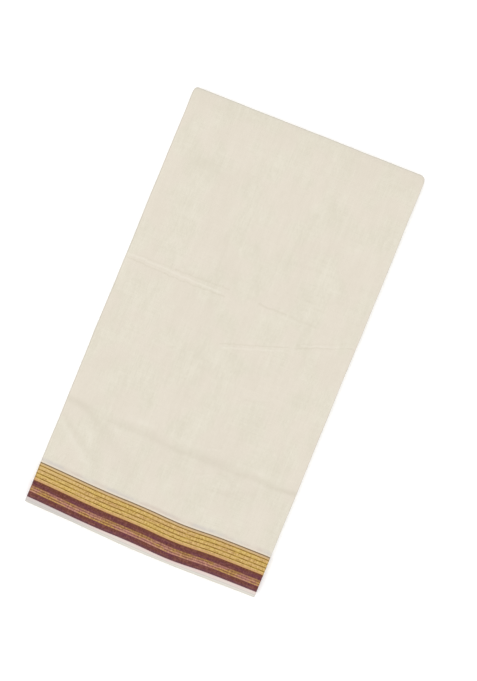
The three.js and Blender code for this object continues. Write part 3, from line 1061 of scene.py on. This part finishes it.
# The lighter threads, grain and warp yarns are partly painted sparkle of the metal, partly uneven gilding.
colour = lay_dyes(dye(203, 170, 82), [
    (drift, 0.4, 0.6, 1, (198, 155, 107)),
    (threads, 0.25, 0.75, 0.5, (226, 194, 128)),
    (grain, 0.46, 0.74, 0.7, (230, 196, 136)),
    (grain, 0.54, 0.3, 0.75, (156, 114, 54)),
    (spot.weft_shade, 0.5, 1.0, 0.3, (150, 112, 58)),
    (spot.warp_shade, 0.5, 1.0, 0.4, (236, 210, 140)),
    (depth, 35.6, 33.4, 0.75, (202, 155, 113)),
    (depth, 53.8, 54.6, 0.8, (207, 177, 140)),
])
rubbed = fade(spot.along, 90 * MM, 35 * MM, 0.0, 0.4) * fade(depth, 42, 47)
colour = blend(rubbed, colour, dye(212, 184, 128))
from_line = maths("PINGPONG", depth - LINE_FROM, LINE_PITCH / 2)
colour = lay_dyes(colour, [(from_line, 1.9, 0.7, 0.6, (198, 162, 66))])
broken = patches(spot.place, 110, 60, 2, 23)
line = fade(from_line, 0.25, 0.75, 1.0, 0.0) * fade(broken, 0.2, 0.6, 0.45, 1.0)
line = line * strip_mask(depth, 33.6, 34.2, 55.6, 56.4)
colour = blend(line, colour, dye(104, 68, 14))
colour = lay_dyes(colour, [(depth, 56.4, 57.3, 0.9, (118, 95, 65))])
height = spot.height + 0.9 * ribs(spot.along, depth, 1.8) - 0.8 * line
gold = end_finish(spot, colour, height, 0.035, in_gaps=0.74, on_yarns=1.09)

# %% [markdown]
# Between the two maroon bands runs a stripe of both yarns: three lines of gold with rose-brown ones
# between them. From a little way off it reads as one soft copper stripe.

# %% Kasavu and maroon stripe
STRIPE_FROM = 16.3
STRIPE_PITCH = 3.25
spot = start_finish("kasavu and maroon", roughness=0.55, metallic=0.2)
depth = in_from_edge(spot.cross_in)
drift = patches(spot.thread, 44, 150, 3, 31)
broken = patches(spot.thread, 90, 420, 2, 33)
grain = patches(spot.crossing, 420, 320, 2, 32)
gold_yarn = lay_dyes(dye(196, 153, 82), [(drift, 0.4, 0.6, 1, (196, 140, 122))])
rose_yarn = lay_dyes(dye(124, 80, 44), [(drift, 0.4, 0.6, 1, (134, 80, 78))])
from_gold = maths("PINGPONG", depth - STRIPE_FROM, STRIPE_PITCH / 2)
rose = maths("MAXIMUM", fade(from_gold, 0.45, 1.25), fade(depth, 21.0, 21.8, 0.0, 0.5))
rose = rose * fade(broken, 0.34, 0.6, 0.75, 1.1)
colour = lay_dyes(blend(rose, gold_yarn, rose_yarn), [
    (grain, 0.5, 0.72, 0.45, (214, 170, 124)),
    (grain, 0.52, 0.3, 0.5, (104, 60, 44)),
    (spot.weft_shade, 0.4, 1.0, 0.3, (118, 72, 58)),
])
height = spot.height + 0.9 * ribs(spot.along, depth, 1.6)
stripe = end_finish(spot, colour, height, 0.035, in_gaps=0.78, on_yarns=1.16)

# %% [markdown]
# Each finish goes on its piece, and each piece is tied to the frame: it stands in for the plain solids
# it covers, which are hidden, and rides on the one body.

# %% Finishes and ties
FINISHES = {
    "selvedge": (selvedge, "selvedge_cotton"),
    "outer_maroon": (maroon, "maroon_cotton"),
    "kasavu_stripe": (stripe, "kasavu_and_maroon"),
    "inner_maroon": (maroon, "maroon_cotton"),
    "kasavu_band": (gold, "kasavu_gold"),
}


def tie(piece, slot_name, *nodes):
    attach(piece, "root")
    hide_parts(*nodes)


ground.data.materials.append(cream)
tie(ground, "cream_cotton", "top_field", "far_fold", "under_field")
for node_name, band in bands.items():
    material, slot_name = FINISHES[node_name.split("_", 1)[1]]
    band.data.materials.append(material)
    tie(band, slot_name, node_name)
hidden.data.materials[0] = plain_cream
for number, (yarn, _) in enumerate(BORDER, 1):
    hidden.data.materials[number] = FINISHES[yarn][0]
tie(hidden, "cream_cotton", "hidden_layers")

# %% [markdown]
# The studio is a white table under an even white sky, with one broad lamp on the near left side. The
# table is lit a little from within, so hardly any shadow falls on it. The lamp shows the creases: from
# the left and the near end, their far slopes face it.

# %% The floor and the light
FLOOR_LEVEL = -0.03 * MM


def into_scene(name, data, location):
    """A lamp or a camera, in its place."""
    thing = bpy.data.objects.new(name, data)
    bpy.context.scene.collection.objects.link(thing)
    thing.location = location
    return thing


bpy.ops.mesh.primitive_plane_add(size=8, location=(0, 0, FLOOR_LEVEL))
floor = bpy.context.object
floor.name = "floor"
floor_paint = bpy.data.materials.new("floor paint")
floor_paint.use_nodes = True
set_inputs(floor_paint.node_tree.nodes["Principled BSDF"], {
    "Base Color": (0.96, 0.96, 0.96, 1),
    "Roughness": 0.9,
    "Specular IOR Level": 0.1,
    "Emission Color": (1, 1, 1, 1),
    "Emission Strength": 0.1,
})
floor.data.materials.append(floor_paint)

sky = bpy.data.worlds.new("even sky")
sky.use_nodes = True
set_inputs(sky.node_tree.nodes["Background"], {"Color": (1, 1, 1, 1), "Strength": 1.05})
bpy.context.scene.world = sky

lamp_data = bpy.data.lights.new("broad lamp", "SUN")
lamp_data.energy = 0.5
lamp_data.angle = math.radians(40)
lamp = into_scene("broad lamp", lamp_data, (-0.4, -0.5, 1.6))
lamp.rotation_euler = lamp.location.to_track_quat("Z", "Y").to_euler()
print("lamp at", [round(value, 2) for value in lamp.location])

# %% [markdown]
# The camera looks straight down from high up through a long lens, so that nothing leans. It is turned
# about its own axis, so that the bundle lies aslant.

# %% The camera
CAMERA_AT = (16.8 * MM, 7.6 * MM, 2.624)
CAMERA_ROLL = math.radians(22.2)
camera_data = bpy.data.cameras.new("camera")
camera_data.lens = 100
camera = into_scene("camera", camera_data, CAMERA_AT)
camera.rotation_euler = (0, 0, CAMERA_ROLL)
bpy.context.scene.camera = camera
bpy.context.scene.view_settings.view_transform = "Standard"
print("camera's lens, mm:", camera_data.lens, "and height, m:", round(camera.location.z, 3))
